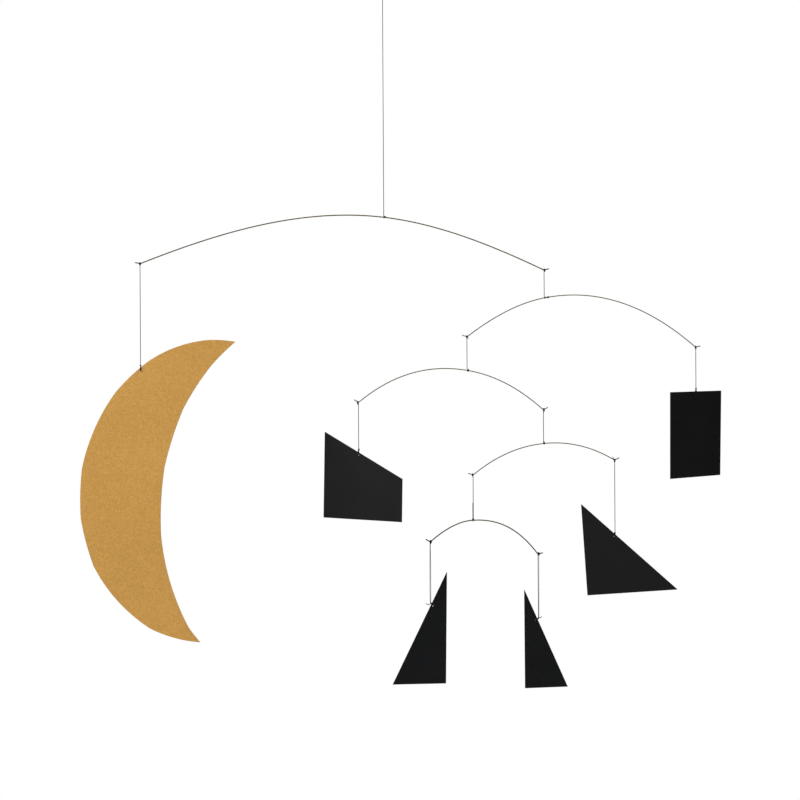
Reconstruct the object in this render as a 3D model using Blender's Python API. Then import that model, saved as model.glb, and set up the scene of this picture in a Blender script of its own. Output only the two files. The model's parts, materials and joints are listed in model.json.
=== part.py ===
"""Hanging mobile: five arched wire arms in a cascade, carrying six flat cards on threads.

The origin is where a hook bears inside the loop at the top. X runs to the right along the arms,
Y runs away from the viewer and Z points up. Everything hangs plumb below the origin. Each arm and
each card turns about its own thread, so each has an empty on that thread's axis, just under the
knot that it hangs from, and its pieces are its children.
"""

import math
from typing import NamedTuple

import bmesh
import bpy
from mathutils import Matrix, Vector

MM = 0.001

# Thread and knots
THREAD_DIAMETER = 0.6 * MM
DOUBLED_THREAD_DIAMETER = 1.0 * MM
KNOT_DIAMETER = 2.0 * MM
TOUCH_GAP = 0.3 * MM
LOOP_LENGTH = 18.0 * MM
LOOP_WIDTH = 7.0 * MM
TOP_THREAD_LENGTH = 230.0 * MM

# Wire ends
NOTCH_BEND_RADIUS = 1.4 * MM
STUB_LENGTH = 5.0 * MM

# Cards
CARD_THICKNESS = 0.8 * MM
HOLE_DIAMETER = 1.5 * MM

# Gold crescent
CRESCENT_THREAD_LENGTH = 101.0 * MM
CRESCENT_KNOT_ABOVE_HOLE = 5.1 * MM

# Facets
ROUND_THREAD_STEPS = 2
RING_STEPS = 4
KNOT_SEGMENTS = 8
KNOT_RINGS = 6
HALF_ARC_STEPS = 12
NOTCH_STEPS = 4
HOLE_STEPS = 16
CUT_STEPS = 12
WELD_DISTANCE = 0.001 * MM

# Colours as linear red, green and blue
GOLD = (0.552, 0.314, 0.080)
BLACK = (0.012, 0.012, 0.013)
DARK_WIRE = (0.045, 0.038, 0.030)
DARK_THREAD = (0.020, 0.018, 0.016)


class Side(NamedTuple):
    """One side of an arm, from the thread that holds it out to its notch.

    reach and drop are the way out and down to the notch's seat. end_fall is how steeply the wire
    comes down to the notch, and stub_rise how steeply the stub leaves it, in degrees.
    """

    reach: float
    drop: float
    end_fall: float
    stub_rise: float


class Arm(NamedTuple):
    """An arched wire. tilt is its slope where its thread holds it, in degrees, rising to the right.

    thread_length is from the wire or the hook that its thread is tied to, down to its own wire.
    """

    name: str
    thread_length: float
    wire_diameter: float
    tilt: float
    left: Side
    right: Side


class Card(NamedTuple):
    """A black card with a level base, whose sides have their own heights and lean in degrees.

    thread_length is from the wire that its thread is tied to, down to its hole. hole_across is
    measured along the base from its left corner, and hole_inset square to the top edge. knot_gap is
    from that edge up to the knot, along the line from the hole at tie_lean degrees to the right of
    upright. turn is the card's own turn about its thread.
    """

    name: str
    thread_length: float
    thread_diameter: float
    base: float
    left_height: float
    right_height: float
    left_lean: float
    right_lean: float
    hole_across: float
    hole_inset: float
    knot_gap: float
    tie_lean: float
    turn: float


class Cut(NamedTuple):
    """One stroke of the knife round the crescent, from a corner to the next one.

    across and up are the corner's place from the middle of the hole. bulge is how far the cut bows
    out from the straight line to the next corner. Where it is negative, the cut bows inward.
    """

    across: float
    up: float
    bulge: float


FIRST_ARM = Arm(
    name="first_arm",
    thread_length=TOP_THREAD_LENGTH,
    wire_diameter=1.1 * MM,
    tilt=-7.0,
    left=Side(reach=229.1 * MM, drop=42.3 * MM, end_fall=21.3, stub_rise=14.4),
    right=Side(reach=150.6 * MM, drop=50.4 * MM, end_fall=25.8, stub_rise=14.2),
)
SECOND_ARM = Arm(
    name="second_arm",
    thread_length=26.2 * MM,
    wire_diameter=0.9 * MM,
    tilt=10.6,
    left=Side(reach=73.2 * MM, drop=36.0 * MM, end_fall=37.2, stub_rise=17.4),
    right=Side(reach=141.8 * MM, drop=46.9 * MM, end_fall=41.4, stub_rise=10.2),
)
THIRD_ARM = Arm(
    name="third_arm",
    thread_length=31.7 * MM,
    wire_diameter=0.9 * MM,
    tilt=-9.6,
    left=Side(reach=102.0 * MM, drop=29.3 * MM, end_fall=39.1, stub_rise=32.2),
    right=Side(reach=71.8 * MM, drop=37.1 * MM, end_fall=42.1, stub_rise=24.7),
)
FOURTH_ARM = Arm(
    name="fourth_arm",
    thread_length=32.1 * MM,
    wire_diameter=0.9 * MM,
    tilt=5.6,
    left=Side(reach=66.6 * MM, drop=28.9 * MM, end_fall=39.2, stub_rise=15.2),
    right=Side(reach=66.5 * MM, drop=15.8 * MM, end_fall=30.9, stub_rise=27.3),
)
FIFTH_ARM = Arm(
    name="fifth_arm",
    thread_length=42.8 * MM,
    wire_diameter=1.1 * MM,
    tilt=2.7,
    left=Side(reach=40.8 * MM, drop=19.9 * MM, end_fall=40.8, stub_rise=30.5),
    right=Side(reach=60.8 * MM, drop=31.8 * MM, end_fall=53.1, stub_rise=9.7),
)
RECTANGLE = Card(
    name="rectangle",
    thread_length=44.4 * MM,
    thread_diameter=THREAD_DIAMETER,
    base=110.8 * MM,
    left_height=80.0 * MM,
    right_height=80.8 * MM,
    left_lean=0.7,
    right_lean=2.4,
    hole_across=57.2 * MM,
    hole_inset=2.6 * MM,
    knot_gap=1.2 * MM,
    tie_lean=0.0,
    turn=59.0,
)
TRAPEZOID = Card(
    name="trapezoid",
    thread_length=49.8 * MM,
    thread_diameter=THREAD_DIAMETER,
    base=119.1 * MM,
    left_height=81.9 * MM,
    right_height=39.9 * MM,
    left_lean=1.9,
    right_lean=1.7,
    hole_across=55.0 * MM,
    hole_inset=2.4 * MM,
    knot_gap=1.7 * MM,
    tie_lean=0.0,
    turn=-51.3,
)
LARGE_TRIANGLE = Card(
    name="large_triangle",
    thread_length=71.3 * MM,
    thread_diameter=THREAD_DIAMETER,
    base=110.4 * MM,
    left_height=85.2 * MM,
    right_height=0.0,
    left_lean=-4.7,
    right_lean=0.0,
    hole_across=32.3 * MM,
    hole_inset=1.9 * MM,
    knot_gap=0.5 * MM,
    tie_lean=20.0,
    turn=35.0,
)
LEFT_TRIANGLE = Card(
    name="left_triangle",
    thread_length=60.3 * MM,
    thread_diameter=DOUBLED_THREAD_DIAMETER,
    base=50.7 * MM,
    left_height=0.0,
    right_height=105.2 * MM,
    left_lean=0.0,
    right_lean=0.8,
    hole_across=38.7 * MM,
    hole_inset=2.1 * MM,
    knot_gap=0.5 * MM,
    tie_lean=-38.0,
    turn=8.0,
)
RIGHT_TRIANGLE = Card(
    name="right_triangle",
    thread_length=62.4 * MM,
    thread_diameter=DOUBLED_THREAD_DIAMETER,
    base=42.3 * MM,
    left_height=92.8 * MM,
    right_height=0.0,
    left_lean=-0.2,
    right_lean=0.0,
    hole_across=11.0 * MM,
    hole_inset=1.9 * MM,
    knot_gap=0.5 * MM,
    tie_lean=55.0,
    turn=15.5,
)

CRESCENT_CUTS = (
    Cut(across=89.3 * MM, up=27.1 * MM, bulge=0.7 * MM),
    Cut(across=63.7 * MM, up=28.9 * MM, bulge=3.8 * MM),
    Cut(across=7.5 * MM, up=9.3 * MM, bulge=1.2 * MM),
    Cut(across=-23.6 * MM, up=-19.6 * MM, bulge=4.1 * MM),
    Cut(across=-55.6 * MM, up=-90.6 * MM, bulge=1.1 * MM),
    Cut(across=-57.0 * MM, up=-138.5 * MM, bulge=1.1 * MM),
    Cut(across=-45.2 * MM, up=-183.2 * MM, bulge=5.2 * MM),
    Cut(across=7.3 * MM, up=-241.9 * MM, bulge=2.5 * MM),
    Cut(across=54.7 * MM, up=-255.2 * MM, bulge=-0.3 * MM),
    Cut(across=43.2 * MM, up=-240.2 * MM, bulge=-4.3 * MM),
    Cut(across=18.4 * MM, up=-154.7 * MM, bulge=-1.6 * MM),
    Cut(across=22.0 * MM, up=-90.5 * MM, bulge=-1.3 * MM),
    Cut(across=39.8 * MM, up=-36.0 * MM, bulge=-1.2 * MM),
    Cut(across=66.5 * MM, up=4.8 * MM, bulge=-0.6 * MM),
)


def clear_scene():
    for obj in list(bpy.data.objects):
        bpy.data.objects.remove(obj, do_unlink=True)


def new_collection(name):
    collection = bpy.data.collections.new(name)
    bpy.context.scene.collection.children.link(collection)
    return collection


def finish_material(name, colour, roughness, metallic):
    """A Principled material of one colour, named for the piece that wears it."""
    material = bpy.data.materials.new(name)
    material.use_nodes = True
    shader = material.node_tree.nodes["Principled BSDF"]
    shader.inputs["Base Color"].default_value = (*colour, 1.0)
    shader.inputs["Roughness"].default_value = roughness
    shader.inputs["Metallic"].default_value = metallic
    return material


def thread_material(name):
    return finish_material(name, DARK_THREAD, roughness=0.8, metallic=0.0)


def wire_material(name):
    return finish_material(name, DARK_WIRE, roughness=0.45, metallic=0.9)


def add_piece(name, data, parent, material):
    """An object for a mesh or a curve, in the mobile's collection and in its parent's space."""
    data.materials.append(material)
    piece = bpy.data.objects.new(name, data)
    MOBILE.objects.link(piece)
    piece.parent = parent
    return piece


def add_swivel(name, parent, place, turn):
    """The empty that an arm or a card hangs and turns from."""
    swivel = bpy.data.objects.new(name, None)
    MOBILE.objects.link(swivel)
    swivel.parent = parent
    swivel.location = place
    swivel.rotation_euler.z = math.radians(turn)
    return swivel


def round_bar(name, points, diameter, cyclic=False):
    """A round thread or wire along points, as a curve with filled ends."""
    curve = bpy.data.curves.new(name, "CURVE")
    curve.dimensions = "3D"
    curve.bevel_depth = diameter / 2
    curve.bevel_resolution = ROUND_THREAD_STEPS
    curve.use_fill_caps = True
    spline = curve.splines.new("POLY")
    spline.points.add(len(points) - 1)
    for spline_point, point in zip(spline.points, points):
        spline_point.co = (*point, 1.0)
    spline.use_cyclic_u = cyclic
    return curve


def helper_object(name, data):
    """An object that only lends its shape to another one."""
    helper = bpy.data.objects.new(name, data)
    HELPERS.objects.link(helper)
    helper.hide_render = True
    helper.display_type = "WIRE"
    return helper


def closed_mesh(curve_object):
    """The mesh of a curve object, with its ends joined to its side."""
    depsgraph = bpy.context.evaluated_depsgraph_get()
    mesh = bpy.data.meshes.new_from_object(curve_object.evaluated_get(depsgraph))
    shape = bmesh.new()
    shape.from_mesh(mesh)
    bmesh.ops.remove_doubles(shape, verts=shape.verts, dist=WELD_DISTANCE)
    bmesh.ops.recalc_face_normals(shape, faces=shape.faces)
    shape.to_mesh(mesh)
    shape.free()
    return mesh


def bar_mesh(name, points, diameter, cyclic=False):
    """A closed mesh of thread along points."""
    helper = helper_object(name, round_bar(name, points, diameter, cyclic))
    mesh = closed_mesh(helper)
    bpy.data.objects.remove(helper, do_unlink=True)
    return mesh


def knot_mesh(name, place):
    shape = bmesh.new()
    bmesh.ops.create_uvsphere(
        shape,
        u_segments=KNOT_SEGMENTS,
        v_segments=KNOT_RINGS,
        radius=KNOT_DIAMETER / 2,
        matrix=Matrix.Translation(place),
    )
    mesh = bpy.data.meshes.new(name)
    shape.to_mesh(mesh)
    shape.free()
    return mesh


def fuse(name, meshes):
    """One closed mesh from several that overlap."""
    first, *others = [helper_object(name, mesh) for mesh in meshes]
    for other in others:
        union = first.modifiers.new("union", "BOOLEAN")
        union.operation = "UNION"
        union.solver = "EXACT"
        union.object = other
    depsgraph = bpy.context.evaluated_depsgraph_get()
    mesh = bpy.data.meshes.new_from_object(first.evaluated_get(depsgraph))
    for helper in (first, *others):
        bpy.data.objects.remove(helper, do_unlink=True)
    mesh.shade_smooth()
    mesh.set_sharp_from_angle(angle=math.radians(40))
    return mesh


def ring_points(half_width, span):
    """A long loop in the Y-Z plane, from the round end about the origin to a point span above it."""
    straight = span - half_width
    points = []
    for step in range(RING_STEPS + 1):
        angle = math.pi * step / RING_STEPS
        y = half_width * math.cos(angle)
        z = half_width * math.sin(angle)
        points.append(Vector((0.0, y, straight + z)))
    for step in range(RING_STEPS + 1):
        angle = math.pi + math.pi * step / RING_STEPS
        y = half_width * math.cos(angle)
        z = half_width * math.sin(angle)
        points.append(Vector((0.0, y, z)))
    return points


def direction(lean):
    """The direction in the X-Z plane that leans this many degrees to the right of up."""
    angle = math.radians(lean)
    return Vector((math.sin(angle), 0.0, math.cos(angle)))


def tied_loop(name, knot, span, half_width, lean):
    """The meshes of a knot and of the loop that hangs from it, round what the thread holds.

    The middle of the loop's round end is span from the knot, which lies from there at lean degrees
    to the right of upright.
    """
    held = knot - span * direction(lean)
    place = Matrix.Translation(held) @ Matrix.Rotation(math.radians(lean), 4, "Y")
    points = [place @ point for point in ring_points(half_width, span)]
    return [knot_mesh(name, knot), bar_mesh(name, points, THREAD_DIAMETER, cyclic=True)]


def half_width_round(thickness):
    """Half the width of a loop, along its middle line, that goes round this thickness."""
    return thickness / 2 + TOUCH_GAP + THREAD_DIAMETER / 2


def wire_tie_span(wire_diameter):
    """From the middle of a wire to the middle of the knot of the thread tied round it."""
    return wire_diameter / 2 + TOUCH_GAP + KNOT_DIAMETER / 2


def add_thread(name, parent, knot, span, half_width, lean, diameter=THREAD_DIAMETER):
    """The thread of an arm or a card, from just below its swivel to its knot and loop."""
    top = Vector((0.0, 0.0, -TOUCH_GAP))
    meshes = tied_loop(name, knot, span, half_width, lean)
    meshes.append(bar_mesh(name, [top, knot], diameter))
    return add_piece(name, fuse(name, meshes), parent, thread_material(name))


def add_notch_tie(name, parent, seat, wire_diameter):
    """The loop round a notch, with its knot below, and the place where what it carries turns."""
    span = wire_tie_span(wire_diameter)
    knot = seat - Vector((0.0, 0.0, span))
    meshes = tied_loop(name, knot, span, half_width_round(wire_diameter), lean=180.0)
    add_piece(name, fuse(name, meshes), parent, thread_material(name))
    return knot - Vector((0.0, 0.0, KNOT_DIAMETER / 2))


def hanging_places(below_seat, seat, place, span, lean):
    """Where a thread holds its load, below_seat down from a seat, and its knot, in its swivel's space.

    The knot is span from the held place, at lean degrees to the right of upright, on the swivel's axis.
    """
    to_knot = span * direction(lean)
    held = Vector((-to_knot.x, 0.0, seat.z - place.z - below_seat))
    return held, held + to_knot


def side_points(side, start_slope):
    """The middle line of a side, from the arm's thread to the tip of its stub, going out along +X.

    The arc is a cubic with a set slope at both ends. Its far end, the notch, is a round bend whose
    lowest point is the seat, at the side's reach and drop.
    """
    fall = math.radians(side.end_fall)
    rise = math.radians(side.stub_rise)
    tangent = NOTCH_BEND_RADIUS * math.tan((fall + rise) / 2)
    centre = Vector((side.reach, 0.0, NOTCH_BEND_RADIUS - side.drop))
    bend_start = centre + NOTCH_BEND_RADIUS * Vector((-math.sin(fall), 0.0, -math.cos(fall)))
    corner = bend_start + tangent * Vector((math.cos(fall), 0.0, -math.sin(fall)))
    points = []
    for step in range(1, HALF_ARC_STEPS):
        t = step / HALF_ARC_STEPS
        start_share = (t**3 - 2 * t**2 + t) * start_slope * bend_start.x
        end_share = (t**3 - t**2) * -math.tan(fall) * bend_start.x
        height = (3 * t**2 - 2 * t**3) * bend_start.z + start_share + end_share
        points.append(Vector((bend_start.x * t, 0.0, height)))
    for step in range(NOTCH_STEPS + 1):
        angle = -fall + (fall + rise) * step / NOTCH_STEPS
        points.append(centre + NOTCH_BEND_RADIUS * Vector((math.sin(angle), 0.0, -math.cos(angle))))
    points.append(corner + STUB_LENGTH * Vector((math.cos(rise), 0.0, math.sin(rise))))
    return points


def mirrored(points):
    return [Vector((-point.x, point.y, point.z)) for point in points]


def add_arm(arm, parent, seat, place):
    """An arm under a seat, and the empties' parent and seats for what hangs from its two notches."""
    swivel = add_swivel(f"{arm.name}_swivel", parent, place, turn=0.0)
    span = wire_tie_span(arm.wire_diameter)
    lean = -arm.tilt
    held, knot = hanging_places(arm.thread_length, seat, place, span, lean)
    thread_name = "top_thread" if parent is HANGER else f"{arm.name}_thread"
    add_thread(thread_name, swivel, knot, span, half_width_round(arm.wire_diameter), lean)
    slope = math.tan(math.radians(arm.tilt))
    left = mirrored(side_points(arm.left, -slope))
    right = side_points(arm.right, slope)
    points = [held + point for point in (*reversed(left), Vector(), *right)]
    wire_name = f"{arm.name}_wire"
    wire = round_bar(wire_name, points, arm.wire_diameter)
    add_piece(wire_name, wire, swivel, wire_material(wire_name))
    left_seat = held + Vector((-arm.left.reach, 0.0, -arm.left.drop))
    right_seat = held + Vector((arm.right.reach, 0.0, -arm.right.drop))
    return swivel, left_seat, right_seat


def card_corners(card):
    """The corners of a card's outline, anticlockwise from its lower left corner."""
    left_shift = card.left_height * math.tan(math.radians(card.left_lean))
    right_shift = card.right_height * math.tan(math.radians(card.right_lean))
    corners = [Vector((0.0, 0.0)), Vector((card.base, 0.0))]
    if card.right_height:
        corners.append(Vector((card.base + right_shift, card.right_height)))
    if card.left_height:
        corners.append(Vector((left_shift, card.left_height)))
    return corners


def top_edge(card, corners):
    """The two ends of the edge that the hole is near, from left to right."""
    left = corners[-1] if card.left_height else corners[0]
    right = corners[2] if card.right_height else corners[1]
    return left, right


def card_hole(card, corners):
    """The middle of a card's hole, and how far the top edge is from it along the tie's line."""
    left, right = top_edge(card, corners)
    along = (right - left).normalized()
    slope = along.y / along.x
    edge_height = left.y + slope * (card.hole_across - left.x)
    hole = Vector((card.hole_across, edge_height - card.hole_inset / along.x))
    edge_square = Vector((-along.y, along.x))
    tie_line = direction(card.tie_lean)
    to_edge = card.hole_inset / edge_square.dot(Vector((tie_line.x, tie_line.z)))
    return hole, to_edge


def circle_points(centre, radius, steps):
    points = []
    for step in range(steps):
        angle = 2 * math.pi * step / steps
        points.append(centre + radius * Vector((math.cos(angle), math.sin(angle))))
    return points


def flat_card(name, outlines, origin):
    """A sheet of card with these outlines, about origin, lying in the X-Y plane."""
    curve = bpy.data.curves.new(name, "CURVE")
    curve.dimensions = "2D"
    curve.fill_mode = "BOTH"
    curve.extrude = CARD_THICKNESS / 2
    for outline in outlines:
        spline = curve.splines.new("POLY")
        spline.points.add(len(outline) - 1)
        for spline_point, point in zip(spline.points, outline):
            spline_point.co = (*(point - origin), 0.0, 1.0)
        spline.use_cyclic_u = True
    return curve


def add_card(card, parent, seat, place):
    """A black card, standing in its swivel's X-Z plane, on its thread."""
    swivel = add_swivel(f"{card.name}_swivel", parent, place, card.turn)
    corners = card_corners(card)
    hole, to_edge = card_hole(card, corners)
    span = to_edge + card.knot_gap + KNOT_DIAMETER / 2
    held, knot = hanging_places(card.thread_length, seat, place, span, card.tie_lean)
    half_width = half_width_round(CARD_THICKNESS)
    loop_span = span - half_width
    thread_name = f"{card.name}_thread"
    add_thread(thread_name, swivel, knot, loop_span, half_width, card.tie_lean, card.thread_diameter)
    card_name = f"{card.name}_card"
    outlines = [corners, circle_points(hole, HOLE_DIAMETER / 2, HOLE_STEPS)]
    material = finish_material(card_name, BLACK, roughness=0.7, metallic=0.0)
    piece = add_piece(card_name, flat_card(card_name, outlines, hole), swivel, material)
    piece.location = held
    piece.rotation_euler.x = math.radians(90)


def cut_points(start, end, bulge):
    """Points along a cut from its start, up to but without its end, on the arc that bows by bulge."""
    chord = end - start
    out = Vector((chord.y, -chord.x)).normalized()
    radius = (chord.length_squared / 4 + bulge**2) / (2 * bulge)
    centre = (start + end) / 2 + (bulge - radius) * out
    half_turn = 2 * math.atan(2 * bulge / chord.length)
    points = []
    for step in range(CUT_STEPS):
        angle = half_turn * (2 * step / CUT_STEPS - 1)
        points.append(centre + radius * (Matrix.Rotation(angle, 2) @ out))
    return points


def crescent_outline():
    """The crescent's outline about the middle of its hole, anticlockwise from its upper tip."""
    outline = []
    for cut, next_cut in zip(CRESCENT_CUTS, (*CRESCENT_CUTS[1:], CRESCENT_CUTS[0])):
        start = Vector((cut.across, cut.up))
        end = Vector((next_cut.across, next_cut.up))
        outline += cut_points(start, end, cut.bulge)
    return outline


def add_crescent(parent, seat, place):
    """The gold crescent, standing in its swivel's X-Z plane, on its thread."""
    swivel = add_swivel("crescent_swivel", parent, place, turn=0.0)
    span = CRESCENT_KNOT_ABOVE_HOLE
    held, knot = hanging_places(CRESCENT_THREAD_LENGTH, seat, place, span, lean=0.0)
    half_width = half_width_round(CARD_THICKNESS)
    add_thread("crescent_thread", swivel, knot, span - half_width, half_width, lean=0.0)

    outlines = [crescent_outline(), circle_points(Vector((0.0, 0.0)), HOLE_DIAMETER / 2, HOLE_STEPS)]
    shape = flat_card("crescent_card", outlines, Vector((0.0, 0.0)))
    material = finish_material("crescent_card", GOLD, roughness=0.55, metallic=0.25)
    crescent = add_piece("crescent_card", shape, swivel, material)
    crescent.location = held
    crescent.rotation_euler.x = math.radians(90)


def add_hanging_loop():
    """The loop at the top, round the hook, and the place where the top thread turns."""
    name = "hanging_loop"
    half_width = (LOOP_WIDTH - THREAD_DIAMETER) / 2
    knot = Vector((0.0, 0.0, -LOOP_LENGTH))
    span = LOOP_LENGTH + THREAD_DIAMETER / 2 - half_width
    meshes = tied_loop(name, knot, span, half_width, lean=180.0)
    add_piece(name, fuse(name, meshes), HANGER, thread_material(name))
    return knot - Vector((0.0, 0.0, KNOT_DIAMETER / 2))


def add_notch_ties(arm, swivel, seats, carried):
    """The ties round an arm's two notches, named for what hangs from them."""
    places = []
    for seat, name in zip(seats, carried):
        places.append(add_notch_tie(f"{name}_thread_tie", swivel, seat, arm.wire_diameter))
    return places


def build_mobile():
    """The whole cascade, each arm hung from the notch above it."""
    place = add_hanging_loop()
    first, *seats = add_arm(FIRST_ARM, HANGER, Vector(), place)
    places = add_notch_ties(FIRST_ARM, first, seats, ("crescent", "second_arm"))
    add_crescent(first, seats[0], places[0])

    second, *lower_seats = add_arm(SECOND_ARM, first, seats[1], places[1])
    lower_places = add_notch_ties(SECOND_ARM, second, lower_seats, ("third_arm", "rectangle"))
    add_card(RECTANGLE, second, lower_seats[1], lower_places[1])

    third, *seats = add_arm(THIRD_ARM, second, lower_seats[0], lower_places[0])
    places = add_notch_ties(THIRD_ARM, third, seats, ("trapezoid", "fourth_arm"))
    add_card(TRAPEZOID, third, seats[0], places[0])

    fourth, *lower_seats = add_arm(FOURTH_ARM, third, seats[1], places[1])
    lower_places = add_notch_ties(FOURTH_ARM, fourth, lower_seats, ("fifth_arm", "large_triangle"))
    add_card(LARGE_TRIANGLE, fourth, lower_seats[1], lower_places[1])

    fifth, *seats = add_arm(FIFTH_ARM, fourth, lower_seats[0], lower_places[0])
    places = add_notch_ties(FIFTH_ARM, fifth, seats, ("left_triangle", "right_triangle"))
    add_card(LEFT_TRIANGLE, fifth, seats[0], places[0])
    add_card(RIGHT_TRIANGLE, fifth, seats[1], places[1])


clear_scene()
MOBILE = new_collection("hanging_mobile")
HELPERS = new_collection("helpers")
HANGER = bpy.data.objects.new("hanger", None)
MOBILE.objects.link(HANGER)
build_mobile()
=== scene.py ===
"""The looks of a hanging mobile: wire arms on twisted threads, a gold crescent and five black cards.

Lengths are in metres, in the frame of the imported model. The origin is where a hook bears in the loop
at the top, X runs to the right along the arms, Y runs away from the viewer and Z points up.
"""

import json
import math
from typing import NamedTuple

import bmesh
import bpy
from mathutils import Matrix, Quaternion, Vector


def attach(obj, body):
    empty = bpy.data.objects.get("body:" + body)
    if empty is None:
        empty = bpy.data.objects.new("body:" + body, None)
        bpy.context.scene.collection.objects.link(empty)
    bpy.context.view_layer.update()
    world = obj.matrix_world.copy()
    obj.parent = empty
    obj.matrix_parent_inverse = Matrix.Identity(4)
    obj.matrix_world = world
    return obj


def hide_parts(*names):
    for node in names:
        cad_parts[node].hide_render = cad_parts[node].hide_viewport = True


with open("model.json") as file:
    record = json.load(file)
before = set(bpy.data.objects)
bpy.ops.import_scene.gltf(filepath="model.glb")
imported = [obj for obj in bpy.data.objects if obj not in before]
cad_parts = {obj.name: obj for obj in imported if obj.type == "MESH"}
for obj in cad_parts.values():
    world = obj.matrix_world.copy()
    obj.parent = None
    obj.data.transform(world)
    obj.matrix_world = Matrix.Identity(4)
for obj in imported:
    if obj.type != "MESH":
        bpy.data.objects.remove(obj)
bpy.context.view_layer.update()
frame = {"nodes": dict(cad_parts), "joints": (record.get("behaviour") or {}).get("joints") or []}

MM = 0.001
RIGHT = Vector((1.0, 0.0, 0.0))
AWAY = Vector((0.0, 1.0, 0.0))
UP = Vector((0.0, 0.0, 1.0))

# Camera, with the picture's side and its horizon in pixels
CAMERA_PLACE = Vector((14.4 * MM, -2500.0 * MM, -384.0 * MM))
CAMERA_ROLL = -0.0057
CAMERA_LENS = 119.7
CAMERA_SENSOR = 36.0
CAMERA_NEAR = 0.1
CAMERA_FAR = 60.0
PICTURE_SIDE = 800
HORIZON_ROW = 381

# Thread and knots
THREAD_DIAMETER = 0.6 * MM
STRAND_DIAMETER = 0.45 * MM
STRAND_SPACING = 0.8 * MM
KNOT_DIAMETER = 2.0 * MM
TOUCH_GAP = 0.3 * MM
LOOP_LENGTH = 18.0 * MM
LOOP_WIDTH = 7.0 * MM
TOP_THREAD_LENGTH = 230.0 * MM
SHORTEST_CORD = 30.0 * MM
THREAD_STEP = 0.2 * MM
THREAD_SIDES = 12
THREAD_LOBES = 3
LOBE_HEIGHT = 0.06
THREAD_FULLNESS = 1.16
LAY_LENGTH = 2.4 * MM
FIBRE_LENGTH = 8.0 * MM
COIL_STEPS = 20
STRAND_SMOOTHING = 3
CLIPPED_LENGTH = 0.5 * MM
CLIPPED_SHARE = 0.6
TAIL_STEP = 0.8 * MM
LEAST_TAIL_STEPS = 4
LOOP_STEPS = 12

# Turns of a thread along a wire from one wrap to the next, and the knot above a card or under the hook
FIRST_TURN = 0.25
TURN_PITCH = 3.0 * MM
BARREL_RADIUS = 0.5 * MM
BARREL_HEIGHT = 1.0 * MM
BARREL_TURNS = 2.6

# Wire
NOTCH_BEND_RADIUS = 1.4 * MM
STUB_LENGTH = 5.0 * MM
WIRE_SIDES = 16
HALF_ARC_STEPS = 60
NOTCH_STEPS = 10
CHAMFER = 0.15 * MM
CHAMFERED_SHARE = 0.7
STREAK_LENGTH = 30.0 * MM

# Cards
CARD_THICKNESS = 0.8 * MM
HOLE_DIAMETER = 1.5 * MM
HOLE_STEPS = 40
RIM_WIDTH = 0.5 * MM
ARRIS = 0.10 * MM
ARRIS_STEPS = 2
CUT_STEPS = 12
WELD_DISTANCE = 0.001 * MM
CORNER_CLEARANCE = 0.1 * MM
FLAT_ANGLE = math.radians(2)
SHARP_ANGLE = math.radians(50)
CRESCENT_THREAD_LENGTH = 101.0 * MM

# Colours as linear red, green and blue
GOLD_LIGHT = (0.820, 0.437, 0.105)
GOLD_DARK = (0.540, 0.271, 0.056)
GOLD_RIM = (0.520, 0.225, 0.030)
BLACK_LIGHT = (0.0050, 0.0050, 0.0057)
BLACK_DARK = (0.0024, 0.0024, 0.0028)
BLACK_RIM = (0.0020, 0.0020, 0.0020)
STEEL_LIGHT = (0.180, 0.125, 0.040)
STEEL_DARK = (0.060, 0.040, 0.012)
FIBRE_LIGHT = (0.185, 0.120, 0.020)
FIBRE_DARK = (0.055, 0.034, 0.006)
# Knot colours: the thread's, darkened partly for wax gathered in the turns and partly as painted shade
# where the turns shade each other
KNOT_WAX_AND_SHADE_LIGHT = (0.022, 0.012, 0.006)
KNOT_WAX_AND_SHADE_DARK = (0.004, 0.002, 0.001)
PALE = (0.85, 0.85, 0.85)
WHITE = (1.0, 1.0, 1.0)
COOL = (0.90, 0.97, 1.0)

# Studio
FLOOR_HEIGHT = -1.45
FLOOR_SIDE = 30.0
FILL_LIGHT = 0.03
LIT_MIDDLE = Vector((0.0, 0.0, -0.45))


class Side(NamedTuple):
    """One side of an arm: what its notch carries, and the slopes on both sides of the notch.

    end_fall is how steeply the wire comes down to the notch, and stub_rise how steeply the stub
    leaves it, in degrees.
    """

    carries: str
    end_fall: float
    stub_rise: float


class Arm(NamedTuple):
    """An arched wire. tilt is its slope where its thread holds it, in degrees, rising to the right.

    thread_length is from the wire or the hook that its thread is tied to, down to its own wire.
    """

    name: str
    thread_length: float
    wire_diameter: float
    tilt: float
    left: Side
    right: Side


class Tail(NamedTuple):
    """The clipped end that leaves a knot, in the X-Z plane.

    slope is its direction in degrees, anticlockwise from the right as seen from the front, and it
    turns by curl towards its tip.
    """

    slope: float
    length: float
    curl: float = 0.0


class Wraps(NamedTuple):
    """Turns of a thread round a wire, about a place that is along the wire from the tie's middle."""

    along: float
    width: float
    turns: float
    swell: float = 0.0


class Hitch(NamedTuple):
    """The knot hard against a thread's turns round a wire. gap is how far it stands off them."""

    gap: float
    height: float
    radius: float
    turns: float


class WireTie(NamedTuple):
    """How a thread is tied round a wire. Where there is no hitch, its end leaves the turns."""

    wraps: tuple
    hitch: Hitch | None


class Pass(NamedTuple):
    """Where a thread passes through a card's hole, from the hole's middle.

    proud is how far its runs up both faces stand off the card, where they lie on earlier ones.
    """

    across: float
    height: float
    proud: float = 0.0


class CardTie(NamedTuple):
    """How a card is tied: a few passes through its hole, and a knot above its edge.

    edge is from the hole up to the card's edge, along a line at lean degrees to the right of
    upright, and gap from that edge to the knot. A doubled thread has two strand_turns, in degrees:
    how far its pair is turned from side by side, at its top and at its foot. lift is how far the
    knot's turns are drawn up above the gap.
    """

    edge: float
    gap: float
    lean: float
    passes: tuple
    strand_turns: tuple = ()
    lift: float = 0.0


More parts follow.
